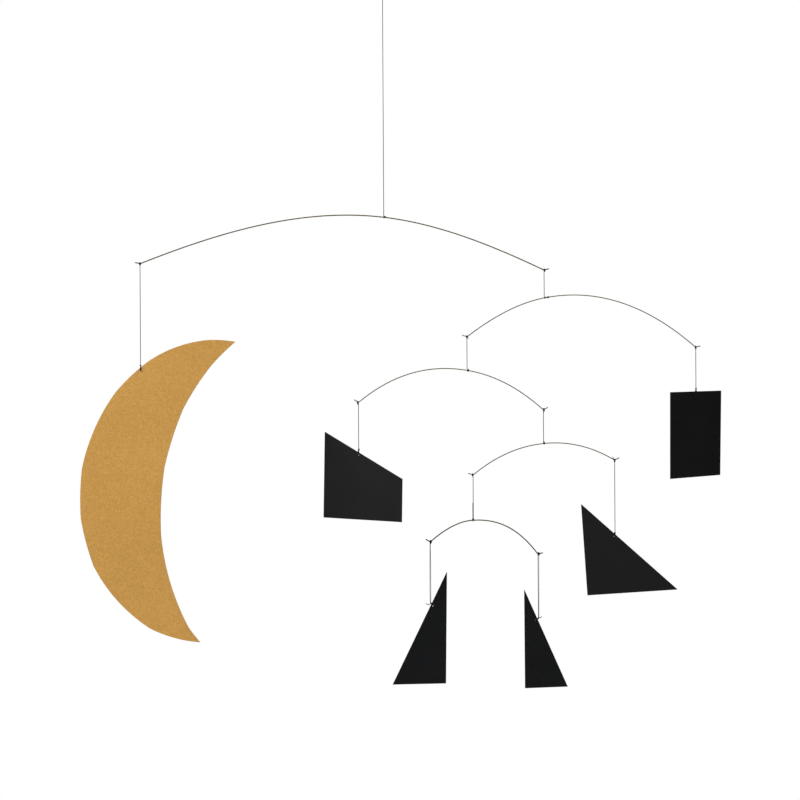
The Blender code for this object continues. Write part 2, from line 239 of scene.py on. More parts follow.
class Cut(NamedTuple):
    """One stroke of the knife round the crescent, from a corner to the next one.

    across and up are the corner's place from the middle of the hole. bulge is how far the cut bows
    out from the straight line to the next corner. Where it is negative, the cut bows inward.
    """

    across: float
    up: float
    bulge: float


class AreaLight(NamedTuple):
    """A soft rectangular light that faces the middle of the mobile. power is in watts."""

    name: str
    place: tuple
    size: tuple
    power: float
    colour: tuple


AREA_LIGHTS = (
    AreaLight("key", place=(-2.45, -1.2, 0.6), size=(1.4, 1.8), power=72.0, colour=WHITE),
    AreaLight("ceiling", place=(0.3, -1.5, 1.6), size=(1.6, 1.2), power=40.0, colour=COOL),
    AreaLight("side", place=(2.4, -0.9, -0.1), size=(0.8, 1.4), power=8.0, colour=WHITE),
    AreaLight("back", place=(0.0, 2.4, 1.2), size=(2.0, 1.2), power=25.0, colour=WHITE),
)

ARMS = (
    Arm(
        name="first_arm",
        thread_length=TOP_THREAD_LENGTH,
        wire_diameter=1.1 * MM,
        tilt=-7.0,
        left=Side("crescent", end_fall=21.3, stub_rise=14.4),
        right=Side("second_arm", end_fall=25.8, stub_rise=14.2),
    ),
    Arm(
        name="second_arm",
        thread_length=26.2 * MM,
        wire_diameter=0.9 * MM,
        tilt=10.6,
        left=Side("third_arm", end_fall=37.2, stub_rise=17.4),
        right=Side("rectangle", end_fall=41.4, stub_rise=10.2),
    ),
    Arm(
        name="third_arm",
        thread_length=31.7 * MM,
        wire_diameter=0.9 * MM,
        tilt=-9.6,
        left=Side("trapezoid", end_fall=39.1, stub_rise=32.2),
        right=Side("fourth_arm", end_fall=42.1, stub_rise=24.7),
    ),
    Arm(
        name="fourth_arm",
        thread_length=32.1 * MM,
        wire_diameter=0.9 * MM,
        tilt=5.6,
        left=Side("fifth_arm", end_fall=39.2, stub_rise=15.2),
        right=Side("large_triangle", end_fall=30.9, stub_rise=27.3),
    ),
    Arm(
        name="fifth_arm",
        thread_length=42.8 * MM,
        wire_diameter=1.1 * MM,
        tilt=2.7,
        left=Side("left_triangle", end_fall=40.8, stub_rise=30.5),
        right=Side("right_triangle", end_fall=53.1, stub_rise=9.7),
    ),
)

CRESCENT_CUTS = (
    Cut(across=89.3 * MM, up=27.1 * MM, bulge=0.7 * MM),
    Cut(across=63.7 * MM, up=28.9 * MM, bulge=3.8 * MM),
    Cut(across=7.5 * MM, up=9.3 * MM, bulge=1.2 * MM),
    Cut(across=-23.6 * MM, up=-19.6 * MM, bulge=4.1 * MM),
    Cut(across=-55.6 * MM, up=-90.6 * MM, bulge=1.1 * MM),
    Cut(across=-57.0 * MM, up=-138.5 * MM, bulge=1.1 * MM),
    Cut(across=-45.2 * MM, up=-183.2 * MM, bulge=5.2 * MM),
    Cut(across=7.3 * MM, up=-241.9 * MM, bulge=2.5 * MM),
    Cut(across=54.7 * MM, up=-255.2 * MM, bulge=-0.3 * MM),
    Cut(across=43.2 * MM, up=-240.2 * MM, bulge=-4.3 * MM),
    Cut(across=18.4 * MM, up=-154.7 * MM, bulge=-1.6 * MM),
    Cut(across=22.0 * MM, up=-90.5 * MM, bulge=-1.3 * MM),
    Cut(across=39.8 * MM, up=-36.0 * MM, bulge=-1.2 * MM),
    Cut(across=66.5 * MM, up=4.8 * MM, bulge=-0.6 * MM),
)

ONE_PASS = (Pass(across=-0.35 * MM, height=0.25 * MM),)
TWO_PASSES = (Pass(across=-0.3 * MM, height=0.33 * MM), Pass(across=0.3 * MM, height=0.33 * MM))
THREE_PASSES = (*TWO_PASSES, Pass(across=0.0, height=-0.10 * MM, proud=0.45 * MM))
FULL_PASSES = (
    Pass(across=-0.20 * MM, height=0.30 * MM),
    Pass(across=0.42 * MM, height=0.10 * MM),
    Pass(across=0.10 * MM, height=-0.44 * MM, proud=0.45 * MM),
)
CARD_TIES = {
    "crescent": CardTie(edge=3.5 * MM, gap=0.4 * MM, lean=0.0, passes=FULL_PASSES, lift=0.9 * MM),
    "rectangle": CardTie(edge=2.6 * MM, gap=1.2 * MM, lean=0.0, passes=TWO_PASSES, lift=0.5 * MM),
    "trapezoid": CardTie(edge=2.55 * MM, gap=1.7 * MM, lean=0.0, passes=ONE_PASS),
    "large_triangle": CardTie(edge=2.0 * MM, gap=0.5 * MM, lean=20.0, passes=THREE_PASSES),
    "left_triangle": CardTie(
        edge=2.35 * MM, gap=0.5 * MM, lean=-38.0, passes=FULL_PASSES, strand_turns=(75.0, -50.0),
        lift=-0.3 * MM,
    ),
    "right_triangle": CardTie(
        edge=1.95 * MM, gap=0.5 * MM, lean=55.0, passes=FULL_PASSES, strand_turns=(0.0, 50.0)
    ),
}

NOTCH_HITCH = Hitch(gap=0.1 * MM, height=0.4 * MM, radius=0.48 * MM, turns=2.2)
LOW_HITCH = Hitch(gap=0.5 * MM, height=0.6 * MM, radius=0.48 * MM, turns=2.6)
ARM_HITCH = Hitch(gap=0.05 * MM, height=0.4 * MM, radius=0.48 * MM, turns=1.8)
TALL_HITCH = Hitch(gap=0.1 * MM, height=0.8 * MM, radius=0.5 * MM, turns=2.8)
WIDE_HITCH = Hitch(gap=0.1 * MM, height=0.5 * MM, radius=0.62 * MM, turns=1.8)


def snug_tie(along=0.0, hitch=NOTCH_HITCH):
    """The usual tie on a notch, this far along the wire from the notch's middle."""
    wraps = (
        Wraps(along=along, width=1.4 * MM, turns=2.8),
        Wraps(along=along, width=-0.7 * MM, turns=1.5, swell=0.25 * MM),
    )
    return WireTie(wraps, hitch)


def thick_tie(along=0.0):
    """The tie of a doubled thread on a notch, with more turns than the usual one."""
    wraps = (
        Wraps(along=along, width=1.9 * MM, turns=4.0),
        Wraps(along=along, width=-1.2 * MM, turns=2.5, swell=0.35 * MM),
    )
    return WireTie(wraps, NOTCH_HITCH)


NOTCH_TIES = {
    "crescent": snug_tie(),
    "second_arm": snug_tie(along=-0.4 * MM),
    "third_arm": snug_tie(),
    "rectangle": snug_tie(hitch=LOW_HITCH),
    "trapezoid": snug_tie(along=0.6 * MM, hitch=LOW_HITCH),
    "fourth_arm": snug_tie(along=-0.5 * MM, hitch=LOW_HITCH),
    "fifth_arm": snug_tie(along=0.4 * MM),
    "large_triangle": snug_tie(hitch=LOW_HITCH),
    "left_triangle": thick_tie(along=-0.5 * MM),
    "right_triangle": thick_tie(along=-0.4 * MM),
}
ARM_TIES = {
    "first_arm": WireTie((Wraps(along=0.5 * MM, width=0.7 * MM, turns=1.5),), ARM_HITCH),
    "second_arm": WireTie(
        (
            Wraps(along=0.0, width=0.5 * MM, turns=1.0),
            Wraps(along=3.6 * MM, width=1.1 * MM, turns=2.5, swell=-0.1 * MM),
        ),
        None,
    ),
    "third_arm": WireTie(
        (
            Wraps(along=1.3 * MM, width=1.4 * MM, turns=3.5),
            Wraps(along=1.4 * MM, width=-0.7 * MM, turns=1.5, swell=0.2 * MM),
        ),
        ARM_HITCH,
    ),
    "fourth_arm": WireTie((Wraps(along=0.3 * MM, width=1.0 * MM, turns=2.0),), TALL_HITCH),
    "fifth_arm": WireTie((Wraps(along=-0.25 * MM, width=1.2 * MM, turns=2.5),), WIDE_HITCH),
}

BLACK_CARDS = ("rectangle", "trapezoid", "large_triangle", "left_triangle", "right_triangle")

HOOK_TAIL = Tail(slope=-62.0, length=7.0 * MM, curl=25.0)
NOTCH_TAILS = {
    "crescent": Tail(slope=-70.0, length=0.8 * MM),
    "second_arm": Tail(slope=-120.0, length=0.6 * MM),
    "third_arm": Tail(slope=-8.0, length=2.0 * MM),
    "rectangle": Tail(slope=-80.0, length=0.7 * MM),
    "trapezoid": Tail(slope=-55.0, length=1.2 * MM),
    "fourth_arm": Tail(slope=-110.0, length=0.7 * MM),
    "fifth_arm": Tail(slope=-60.0, length=0.7 * MM),
    "large_triangle": Tail(slope=113.0, length=5.2 * MM),
    "left_triangle": Tail(slope=-105.0, length=1.4 * MM),
    "right_triangle": Tail(slope=-100.0, length=1.0 * MM),
}
LOAD_TAILS = {
    "first_arm": Tail(slope=-32.0, length=3.4 * MM, curl=22.0),
    "second_arm": Tail(slope=-30.0, length=0.5 * MM),
    "third_arm": Tail(slope=-30.0, length=0.5 * MM),
    "fourth_arm": Tail(slope=10.0, length=0.5 * MM),
    "fifth_arm": Tail(slope=90.0, length=15.0 * MM),
    "crescent": Tail(slope=160.0, length=0.6 * MM),
    "rectangle": Tail(slope=60.0, length=2.2 * MM, curl=60.0),
    "trapezoid": Tail(slope=50.0, length=2.4 * MM, curl=70.0),
    "large_triangle": Tail(slope=60.0, length=0.6 * MM),
    "left_triangle": Tail(slope=203.0, length=5.6 * MM, curl=-75.0),
    "right_triangle": Tail(slope=12.0, length=4.4 * MM, curl=35.0),
}


class Signal:
    """The value of a shader socket. Python's operators on it add the Math nodes."""

    def __init__(self, finish, socket):
        self.finish = finish
        self.socket = socket

    def maths(self, operation, *values):
        return self.finish.node("ShaderNodeMath", {"operation": operation}, dict(enumerate(values)))

    def __add__(self, other):
        return self.maths("ADD", self, other)

    def __mul__(self, other):
        return self.maths("MULTIPLY", self, other)

    def __pow__(self, other):
        return self.maths("POWER", self, other)

    __radd__ = __add__


class Finish:
    """The nodes of a material or of the world."""

    def __init__(self, owner):
        owner.use_nodes = True
        self.tree = owner.node_tree
        self.tree.nodes.clear()

    def node(self, kind, settings=None, sockets=None, output=0):
        """A node with these settings and socket values or links, as the signal of one of its outputs."""
        node = self.tree.nodes.new(kind)
        for name, value in (settings or {}).items():
            setattr(node, name, value)
        for name, value in (sockets or {}).items():
            if isinstance(value, Signal):
                self.tree.links.new(value.socket, node.inputs[name])
            else:
                node.inputs[name].default_value = value
        return Signal(self, node.outputs[output]) if node.outputs else None

    def mixed(self, factor, first, second):
        """A colour that goes from first to second. Each is a signal or a linear colour."""
        first, second = (c if isinstance(c, Signal) else (*c, 1.0) for c in (first, second))
        sockets = {"Factor": factor, 6: first, 7: second}
        return self.node("ShaderNodeMix", {"data_type": "RGBA"}, sockets, output=2)

    def noise(self, place, scale, detail, roughness=0.5):
        sockets = {"Vector": place, "Scale": scale, "Detail": detail, "Roughness": roughness}
        return self.node("ShaderNodeTexNoise", sockets=sockets)

    def stretched(self, place, factors):
        return self.node("ShaderNodeMapping", sockets={"Vector": place, "Scale": factors})

    def contrast(self, signal, low, high):
        """The signal's stretch from low to high, spread from 0 to 1."""
        sockets = {"Value": signal, "From Min": low, "From Max": high}
        return self.node("ShaderNodeMapRange", sockets=sockets)

    def bump(self, height, distance, strength):
        sockets = {"Height": height, "Distance": distance, "Strength": strength}
        return self.node("ShaderNodeBump", sockets=sockets)

    def object_place(self):
        return self.node("ShaderNodeTexCoord", output="Object")

    def attribute(self, name, output):
        return self.node("ShaderNodeAttribute", {"attribute_name": name}, output=output)

    def surface(self, sockets):
        shader = self.node("ShaderNodeBsdfPrincipled", sockets=sockets)
        self.node("ShaderNodeOutputMaterial", sockets={"Surface": shader})


def gold_paint():
    """Satin gold paint on card: fine speckle, faint clouding, and a warmer worn rim."""
    material = bpy.data.materials.new("gold_paint")
    finish = Finish(material)
    place = finish.object_place()
    speckle = finish.noise(place, scale=900.0, detail=3.0, roughness=0.7)
    clouds = finish.noise(place, scale=14.0, detail=3.0)
    shade = finish.contrast(speckle * 0.85 + clouds * 0.15, 0.32, 0.68)
    rim = finish.attribute("rim", "Fac") ** 1.5
    colour = finish.mixed(rim * 0.8, finish.mixed(shade, GOLD_DARK, GOLD_LIGHT), GOLD_RIM)
    relief = finish.bump(speckle, distance=0.03 * MM, strength=0.6)
    finish.surface(
        {
            "Base Color": colour,
            "Metallic": 0.30,
            "Roughness": 0.46 + speckle * 0.14,
            "Normal": relief,
        }
    )
    return material


def black_paint():
    """Matt black paint on card: a paper grain under it, and a darker rim where the edges are inked."""
    material = bpy.data.materials.new("black_paint")
    finish = Finish(material)
    place = finish.object_place()
    grain = finish.noise(place, scale=1500.0, detail=3.0, roughness=0.6)
    fibres = finish.noise(finish.stretched(place, (1.0, 1.0, 0.25)), scale=900.0, detail=2.0)
    clouds = finish.noise(place, scale=18.0, detail=2.0)
    shade = finish.contrast(grain * 0.4 + fibres * 0.3 + clouds * 0.3, 0.36, 0.64)
    rim = finish.attribute("rim", "Fac") ** 1.5
    colour = finish.mixed(rim * 0.8, finish.mixed(shade, BLACK_DARK, BLACK_LIGHT), BLACK_RIM)
    relief = finish.bump(grain * 0.6 + fibres * 0.4, distance=0.03 * MM, strength=0.5)
    finish.surface(
        {
            "Base Color": colour,
            "Roughness": 0.46 + shade * 0.08,
            "Specular IOR Level": 0.24,
            "Normal": relief,
        }
    )
    return material


def drawn_steel():
    """Dark spring wire: fine streaks along its length, and small dull patches."""
    material = bpy.data.materials.new("drawn_steel")
    finish = Finish(material)
    lay = finish.attribute("lay", "Vector")
    streaks = finish.noise(lay, scale=5.0, detail=3.0, roughness=0.6)
    patches = finish.noise(finish.object_place(), scale=220.0, detail=3.0)
    shade = finish.contrast(streaks * 0.6 + patches * 0.4, 0.34, 0.66)
    finish.surface(
        {
            "Base Color": finish.mixed(shade, STEEL_DARK, STEEL_LIGHT),
            "Metallic": 0.85,
            "Roughness": 0.38 + patches * 0.2,
            "Normal": finish.bump(streaks, distance=0.01 * MM, strength=0.5),
        }
    )
    return material


def thread_finish(name, light, dark):
    """Dark waxed and twisted thread, with fibres that follow its lay. The knots' copy has darker colours:
    partly wax gathered in the turns, partly painted shade where the turns shade each other.
    """
    material = bpy.data.materials.new(name)
    finish = Finish(material)
    lay = finish.attribute("lay", "Vector")
    fibres = finish.noise(lay, scale=4.0, detail=3.0, roughness=0.65)
    shade = finish.contrast(fibres, 0.34, 0.68)
    finish.surface(
        {
            "Base Color": finish.mixed(shade, dark, light),
            "Roughness": 0.62 + shade * 0.15,
            "Specular IOR Level": 0.2,
            "Normal": finish.bump(fibres, distance=0.03 * MM, strength=0.8),
        }
    )
    return material


def heading(degrees):
    """The direction in the X-Z plane at this angle, anticlockwise from the right, seen from the front."""
    angle = math.radians(degrees)
    return Vector((math.cos(angle), 0.0, math.sin(angle)))


def direction(lean):
    """The direction in the X-Z plane that leans this many degrees to the right of up."""
    return heading(90.0 - lean)


def leaning(lean):
    """The turn that brings local Z to lean degrees to the right of up, with local Y still away."""
    return Matrix.Rotation(math.radians(lean), 4, "Y")


def resampled(points, step):
    """Points every step or so along the line through points."""
    line = [points[0]]
    for start, end in zip(points, points[1:]):
        count = max(1, round((end - start).length / step))
        line += [start.lerp(end, (index + 1) / count) for index in range(count)]
    return line


def smoothed(points, passes):
    """The line through points with its corners eased, and its two ends where they were."""
    for _ in range(passes):
        eased = [(a + 2 * b + c) / 4 for a, b, c in zip(points, points[1:], points[2:])]
        points = [points[0], *eased, points[-1]]
    return points


def line_length(points):
    return sum((b - a).length for a, b in zip(points, points[1:]))


def ring_places(line, radius, twist_pitch, end_length, end_share):
    """Where each ring of a tube along line stands, as a matrix, and how far along the line it is.

    The rings turn once in each twist_pitch, where there is one. Over end_length before the last
    ring, the radius narrows to end_share.
    """
    total = line_length(line)
    tangents = [(b - a).normalized() for a, b in zip(line, line[1:])]
    tangents.append(tangents[-1])
    upright = tangents[0].to_track_quat("Z", "Y")
    along = 0.0
    rings = []
    for index, (point, tangent) in enumerate(zip(line, tangents)):
        if index:
            before = tangents[index - 1]
            upright = before.rotation_difference(tangent) @ upright
            along += (point - line[index - 1]).length
        left = total - along
        share = end_share + (1.0 - end_share) * min(1.0, left / end_length)
        turn = 2 * math.pi * along / twist_pitch if twist_pitch else 0.0
        spin = Quaternion((0.0, 0.0, 1.0), turn)
        size = Matrix.Diagonal((radius * share, radius * share, radius, 1.0))
        rings.append((Matrix.Translation(point) @ (upright @ spin).to_matrix().to_4x4() @ size, along))
    return rings


def add_tube(shape, rings, sides, lobes, lay_length):
    """Adds a closed tube to a bmesh: a lobed circle that is extruded from ring to ring.

    Its lay layer holds the place round the tube in x and y, and the place along it in z, in
    lay_lengths.
    """
    lay = shape.verts.layers.float_vector.get("lay") or shape.verts.layers.float_vector.new("lay")
    (place, _), *others = rings
    ring = bmesh.ops.create_circle(shape, segments=sides, radius=1.0)["verts"]
    for vert in ring:
        angle = math.atan2(vert.co.y, vert.co.x)
        vert[lay] = (math.cos(angle), math.sin(angle), 0.0)
        vert.co *= THREAD_FULLNESS + LOBE_HEIGHT * math.cos(lobes * angle) if lobes else 1.0
    bmesh.ops.transform(shape, matrix=place, verts=ring)
    edges = list({edge for vert in ring for edge in vert.link_edges})
    first_edges = edges
    for next_place, along in others:
        grown = bmesh.ops.extrude_edge_only(shape, edges=edges)["geom"]
        ring = [part for part in grown if isinstance(part, bmesh.types.BMVert)]
        edges = [part for part in grown if isinstance(part, bmesh.types.BMEdge) and part.is_boundary]
        bmesh.ops.transform(shape, matrix=next_place @ place.inverted(), verts=ring)
        for vert in ring:
            vert[lay].z = along / lay_length
        place = next_place
    bmesh.ops.holes_fill(shape, edges=first_edges + edges, sides=0)


def new_piece(name, shape, material, smooth=True):
    """A finished object from a bmesh, at the origin."""
    bmesh.ops.recalc_face_normals(shape, faces=shape.faces)
    mesh = bpy.data.meshes.new(name)
    shape.to_mesh(mesh)
    shape.free()
    return new_object(name, mesh, material, smooth)


def new_object(name, mesh, material, smooth):
    if smooth:
        mesh.shade_smooth()
        mesh.set_sharp_from_angle(angle=SHARP_ANGLE)
    mesh.materials.append(material)
    piece = bpy.data.objects.new(name, mesh)
    bpy.context.scene.collection.objects.link(piece)
    return piece


def thread_piece(name, lines, diameter, finish="waxed_knot"):
    """Twisted thread along one line or several, all from their first points to their clipped ends."""
    shape = bmesh.new()
    for line in lines:
        rings = ring_places(line, diameter / 2, LAY_LENGTH, CLIPPED_LENGTH, CLIPPED_SHARE)
        add_tube(shape, rings, THREAD_SIDES, THREAD_LOBES, FIBRE_LENGTH)
    return new_piece(name, shape, FINISHES[finish])


def winding(stations):
    """Points on a coil about local Z, through stations of (height, radius, turns so far)."""
    points = []
    for (low, near, before), (high, far, after) in zip(stations, stations[1:]):
        steps = max(2, round(abs(after - before) * COIL_STEPS))
        for step in range(steps):
            share = step / steps
            radius = near + share * (far - near)
            angle = 2 * math.pi * (before + share * (after - before))
            height = low + share * (high - low)
            points.append(Vector((radius * math.cos(angle), radius * math.sin(angle), height)))
    return points


def tail_points(start, tail, turn):
    """The points of a clipped end from start. turn brings the X-Z plane into the knot's own space."""
    steps = max(LEAST_TAIL_STEPS, round(tail.length / TAIL_STEP))
    point = start.copy()
    points = []
    for step in range(steps):
        share = (step + 1) / steps
        slope = tail.slope + tail.curl * max(0.0, 2 * share - 1)
        point = point + (turn @ heading(slope)) * (tail.length / steps)
        points.append(point)
    return points


def knotted_line(place, points, tail):
    """The line through a knot's points and on along its tail, brought to where the knot is."""
    turn = place.to_3x3().inverted()
    whole = [*points, *tail_points(points[-1], tail, turn)]
    line = smoothed(resampled(whole, THREAD_STEP), STRAND_SMOOTHING)
    return [place @ point for point in line]


def barrel(first, last, radius, turns, last_angle):
    """The turns of a knot about local Z, from one height to another, ending at last_angle."""
    first_turn = last_angle / (2 * math.pi) - turns
    return winding([(first, radius, first_turn), (last, radius, first_turn + turns)])


def leaving_angle(place, tail):
    """Where round a knot's Z its last turn ends, for its thread to leave along the tail."""
    leaving = place.to_3x3().inverted() @ heading(tail.slope)
    return math.atan2(leaving.y, leaving.x) - math.pi / 2


def wire_tie_span(wire_diameter):
    """From the middle of a wire to the middle of the knot of the thread tied round it."""
    return wire_diameter / 2 + TOUCH_GAP + KNOT_DIAMETER / 2


def turns_on_wire(bearing, wraps):
    """The turns of a thread round a wire that lies along local X."""
    stations = []
    turned = FIRST_TURN
    for along, width, turns, swell in wraps:
        start = along - width / 2
        if stations:
            turned += abs(start - stations[-1][0]) / TURN_PITCH
        stations.append((start, bearing + swell, turned))
        turned += turns
        stations.append((start + width, bearing + swell, turned))
    to_wire = Matrix.Rotation(math.radians(90), 4, "Y")
    return [to_wire @ point for point in winding(stations)]


def wire_tie(name, held, lean, wire_diameter, tie, tail):
    """A thread's end that is tied round a wire: its turns, and a hitch hard against the last ones."""
    place = Matrix.Translation(held) @ leaning(lean)
    bearing = (wire_diameter + THREAD_DIAMETER) / 2
    points = turns_on_wire(bearing, tie.wraps)
    if tie.hitch:
        gap, height, radius, turns = tie.hitch
        low = bearing + gap
        along = tie.wraps[-1].along * RIGHT
        hitch = barrel(low, low + height, radius, turns, leaving_angle(place, tail))
        points += [along + point for point in hitch]
    return thread_piece(name, [knotted_line(place, points, tail)], THREAD_DIAMETER)


def notch_tie(name, wire_diameter):
    knot_name = f"{name}_notch_knot"
    return wire_tie(knot_name, seat(name), 180.0, wire_diameter, NOTCH_TIES[name], NOTCH_TAILS[name])


def arm_tie(arm):
    knot_name = f"{arm.name}_lower_knot"
    tie = ARM_TIES[arm.name]
    return wire_tie(knot_name, arm_held(arm), -arm.tilt, arm.wire_diameter, tie, LOAD_TAILS[arm.name])


def card_tie(name, held, turn, tie, tail):
    """A thread's lower end, that goes through a card's hole and is knotted above the card's edge."""
    place = Matrix.Translation(held) @ Matrix.Rotation(turn, 4, "Z") @ leaning(tie.lean)
    knot_foot = tie.edge + tie.gap
    barrel_foot = knot_foot + tie.lift
    bend = THREAD_DIAMETER / 2
    points = [Vector((0.0, 0.0, knot_foot))]
    for across, height, proud in tie.passes:
        off_middle = (CARD_THICKNESS + THREAD_DIAMETER) / 2 + proud
        points += [
            Vector((across, -off_middle, tie.edge)),
            Vector((across, -off_middle, height + bend)),
            Vector((across, -bend, height)),
            Vector((across, bend, height)),
            Vector((across, off_middle, height + bend)),
            Vector((across, off_middle, tie.edge)),
            Vector((across / 2, 0.0, knot_foot)),
        ]
    last_angle = leaving_angle(place, tail)
    points += barrel(barrel_foot + BARREL_HEIGHT, barrel_foot, BARREL_RADIUS, BARREL_TURNS, last_angle)
    line = knotted_line(place, points, tail)
    return thread_piece(f"{name}_lower_knot", [line], THREAD_DIAMETER)


def hook_loop():
    """The open loop at the top, which narrows down to its knot."""
    half_width = (LOOP_WIDTH - THREAD_DIAMETER) / 2
    arc_middle = half_width - THREAD_DIAMETER / 2
    knot_top = LOOP_LENGTH - KNOT_DIAMETER / 2
    over = []
    for step in range(LOOP_STEPS + 1):
        angle = math.pi * step / LOOP_STEPS
        over.append(Vector((0.0, half_width * math.cos(angle), arc_middle - half_width * math.sin(angle))))
    one_side = Vector((0.0, THREAD_DIAMETER / 2, knot_top))
    other_side = Vector((0.0, -THREAD_DIAMETER / 2, knot_top))
    points = [one_side, *over, other_side]
    place = leaning(180.0)
    last_angle = leaving_angle(place, HOOK_TAIL)
    points += barrel(knot_top, LOOP_LENGTH + KNOT_DIAMETER / 2, BARREL_RADIUS, BARREL_TURNS, last_angle)
    return thread_piece("hook_loop", [knotted_line(place, points, HOOK_TAIL)], THREAD_DIAMETER)


def paired(line, first_turn, last_turn):
    """Two lines beside this one, side by side but for a turn that changes from its top to its foot."""
    pair = ([], [])
    for index, point in enumerate(line):
        turn = first_turn + (last_turn - first_turn) * index / (len(line) - 1)
        across = STRAND_SPACING / 2 * (Matrix.Rotation(math.radians(turn), 3, "Z") @ RIGHT)
        pair[0].append(point - across)
        pair[1].append(point + across)
    return pair


def seat(name):
    """Where the thread of an arm or a card bears on the hook, or on the wire that carries it."""
    carrier = CARRIERS.get(name)
    if not carrier:
        return Vector()
    return SWIVELS[name] + (wire_tie_span(carrier.wire_diameter) + KNOT_DIAMETER / 2) * UP


def arm_held(arm):
    """Where an arm's thread holds it: the middle of the wire under its swivel."""
    across = wire_tie_span(arm.wire_diameter) * direction(-arm.tilt).x
    return Vector((SWIVELS[arm.name].x - across, 0.0, seat(arm.name).z - arm.thread_length))


def side_line(reach, drop, side, start_slope):
    """The middle line of a side, from the arm's thread to the tip of its stub, going out along +X.

    The arc is a cubic with a set slope at both ends. Its far end, the notch, is a round bend whose
    lowest point is the seat, at the side's reach and drop.
    """
    fall = math.radians(side.end_fall)
    rise = math.radians(side.stub_rise)
    tangent = NOTCH_BEND_RADIUS * math.tan((fall + rise) / 2)
    centre = Vector((reach, 0.0, NOTCH_BEND_RADIUS - drop))
    bend_start = centre + NOTCH_BEND_RADIUS * Vector((-math.sin(fall), 0.0, -math.cos(fall)))
    corner = bend_start + tangent * Vector((math.cos(fall), 0.0, -math.sin(fall)))
    points = []
    for step in range(1, HALF_ARC_STEPS):
        t = step / HALF_ARC_STEPS
        start_share = (t**3 - 2 * t**2 + t) * start_slope * bend_start.x
        end_share = (t**3 - t**2) * -math.tan(fall) * bend_start.x
        height = (3 * t**2 - 2 * t**3) * bend_start.z + start_share + end_share
        points.append(Vector((bend_start.x * t, 0.0, height)))
    for step in range(NOTCH_STEPS + 1):
        angle = -fall + (fall + rise) * step / NOTCH_STEPS
        points.append(centre + NOTCH_BEND_RADIUS * Vector((math.sin(angle), 0.0, -math.cos(angle))))
    stub = Vector((math.cos(rise), 0.0, math.sin(rise)))
    points.append(corner + (STUB_LENGTH - CHAMFER) * stub)
    points.append(corner + STUB_LENGTH * stub)
    return points


def mirrored(points):
    return [Vector((-point.x, point.y, point.z)) for point in points]


def add_arm(arm):
    """An arm's wire, from the tip of one stub to the tip of the other."""
    held = arm_held(arm)
    slope = math.tan(math.radians(arm.tilt))
    sides = []
    for side in (arm.left, arm.right):
        out = seat(side.carries) - held
        start_slope = -slope if side is arm.left else slope
        sides.append(side_line(abs(out.x), -out.z, side, start_slope))
    left, right = sides
    line = [held + point for point in (*reversed(mirrored(left)), Vector(), *right)]
    rings = ring_places(line, arm.wire_diameter / 2, 0.0, CHAMFER, CHAMFERED_SHARE)
    # The first end gets the chamfer that ring_places gives the last one
    first_place, first_along = rings[0]
    chamfered = Matrix.Diagonal((CHAMFERED_SHARE, CHAMFERED_SHARE, 1.0, 1.0))
    rings[0] = (first_place @ chamfered, first_along)
    shape = bmesh.new()
    add_tube(shape, rings, WIRE_SIDES, 0, STREAK_LENGTH)
    wire = new_piece(f"{arm.name}_bow", shape, FINISHES["drawn_steel"])
    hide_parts(f"{arm.name}_wire")
    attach(wire, arm.name)


def cad_verts(node):
    """A bmesh of only the corners of a CAD node."""
    shape = bmesh.new()
    shape.from_mesh(frame["nodes"][node].data)
    bmesh.ops.remove_doubles(shape, verts=shape.verts, dist=WELD_DISTANCE)
    bmesh.ops.delete(shape, geom=shape.edges, context="EDGES_FACES")
    return shape


def card_blank(name):
    """A card without its hole, as a prism with whole faces, and the middle of the hole."""
    shape = cad_verts(f"{name}_card")
    places = [vert.co.copy() for vert in shape.verts]
    hull = bmesh.ops.convex_hull(shape, input=shape.verts)
    inside = [part for part in hull["geom_interior"] if isinstance(part, bmesh.types.BMVert)]
    bmesh.ops.delete(shape, geom=inside, context="VERTS")
    bmesh.ops.dissolve_limit(shape, angle_limit=FLAT_ANGLE, verts=shape.verts, edges=shape.edges)
    corners = [vert.co for vert in shape.verts]
    rim = [p for p in places if min((p - corner).length for corner in corners) > CORNER_CLEARANCE]
    return shape, sum(rim, Vector()) / len(rim)


def front_direction(shape):
    """The way that a card's viewer side faces."""
    face = max(shape.faces, key=lambda face: face.calc_area())
    return face.normal * (-1 if face.normal.y > 0 else 1)


def mark_rim(shape):
    """Insets both large faces by the rim's width, and marks the rim and the edges in the rim layer."""
    rim = shape.verts.layers.float.new("rim")
    for vert in shape.verts:
        vert[rim] = 1.0
    faces = sorted(shape.faces, key=lambda face: face.calc_area())[-2:]
    for face in faces:
        bmesh.ops.inset_region(shape, faces=[face], thickness=RIM_WIDTH, use_even_offset=True)
        for vert in face.verts:
            vert[rim] = 0.0


def hole_cutter(hole, turn):
    """A round bar that stands through a card, where its hole goes."""
    facing = Matrix.Rotation(turn, 4, "Z") @ Matrix.Rotation(math.radians(90), 4, "X")
    radius = HOLE_DIAMETER / 2
    shape = bmesh.new()
    bmesh.ops.create_cone(
        shape, cap_ends=True, segments=HOLE_STEPS, radius1=radius, radius2=radius,
        depth=4 * CARD_THICKNESS, matrix=Matrix.Translation(hole) @ facing,
    )
    return shape


def helper(name, shape):
    """An object that only lends its shape to another one."""
    mesh = bpy.data.meshes.new(name)
    shape.to_mesh(mesh)
    shape.free()
    obj = bpy.data.objects.new(name, mesh)
    bpy.context.scene.collection.objects.link(obj)
    return obj


